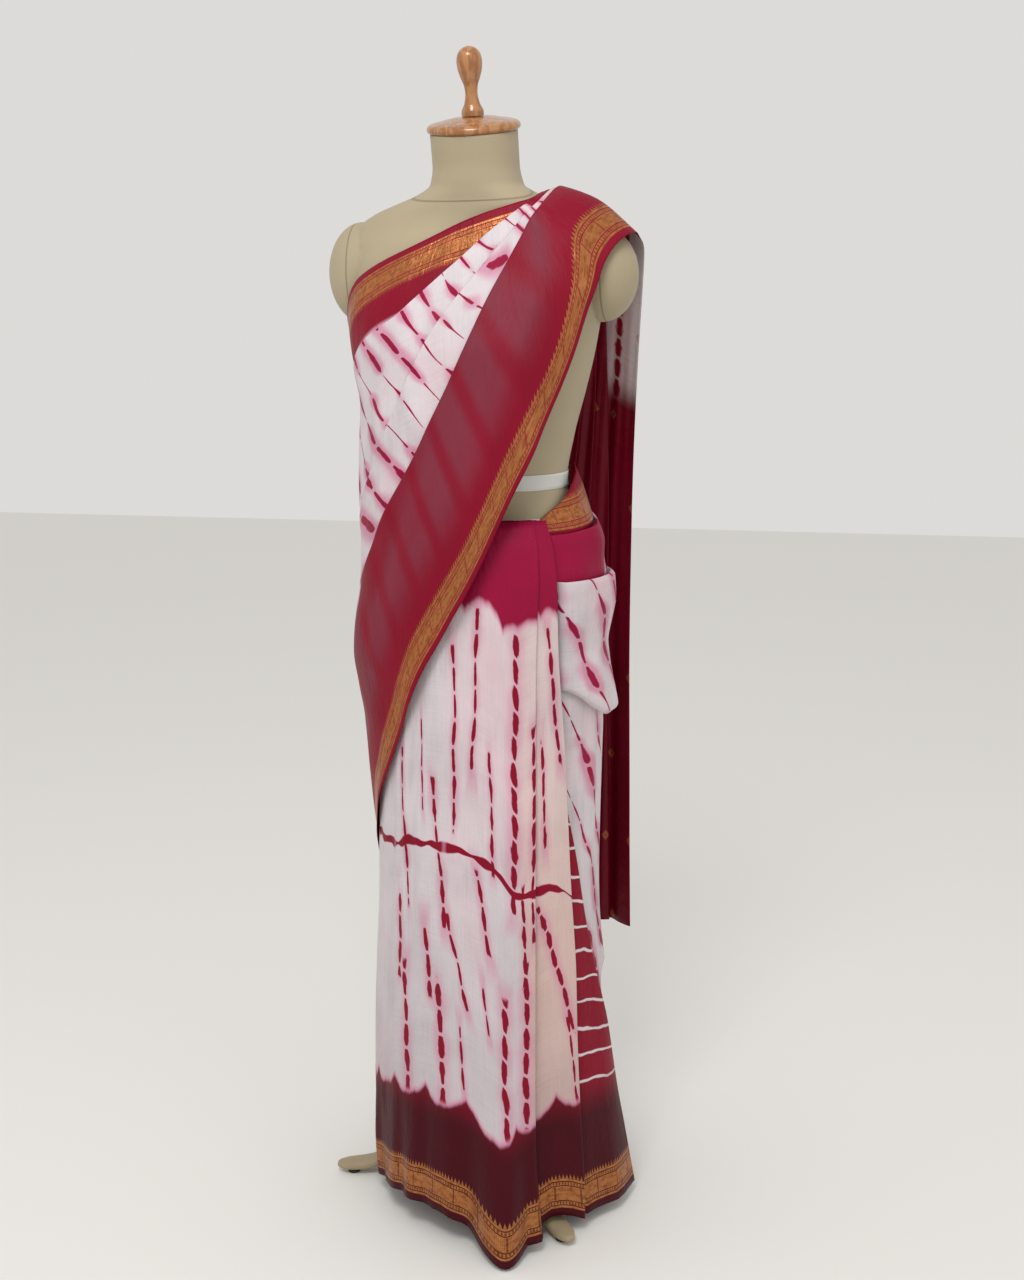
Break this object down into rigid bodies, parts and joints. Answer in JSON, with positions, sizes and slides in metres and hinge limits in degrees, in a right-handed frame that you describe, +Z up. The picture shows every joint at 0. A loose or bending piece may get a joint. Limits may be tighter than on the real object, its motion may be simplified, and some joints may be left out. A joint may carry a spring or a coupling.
{
  "type": "silk saree on a dress form",
  "caption": "Silk saree, tie-dyed and gold-bordered, wound and pleated round a limbless dress form on a tripod stand, with its pallu down the back.",
  "frame": {"origin": "on the floor, under the middle of the bounding box", "axes": "+Z up; -Y is the front of the form and +X its left side, which carries the pallu"},
  "size_m": [0.4388, 0.4666, 1.5826],
  "materials": {
    "silk_maroon": "soft silk sheen, dyed maroon with gold zari borders",
    "silk_white": "soft silk sheen, undyed pale ground with tied maroon lines",
    "canvas": "matte beige cover of the dress form",
    "tape": "plain white tape",
    "wood": "varnished",
    "stand": "khaki paint",
    "rubber": "matte"
  },
  "bodies": {
    "root": {"form_torso": "canvas", "waist_tape": "tape", "neck_cap": "wood", "finial": "wood", "form_socket": "wood", "leg_1": "stand", "foot_pad_1": "rubber", "leg_2": "stand", "foot_pad_2": "rubber", "leg_3": "stand", "foot_pad_3": "rubber", "hub": "stand", "pole": "stand", "skirt_wrap": "silk_white", "front_pleats": "silk_maroon", "hip_fall": "silk_white", "hip_band": "silk_maroon", "hip_collar": "silk_maroon", "back_wrap": "silk_white", "chest_drape": "silk_maroon", "pallu_fall": "silk_maroon"}
  },
  "joints": []
}
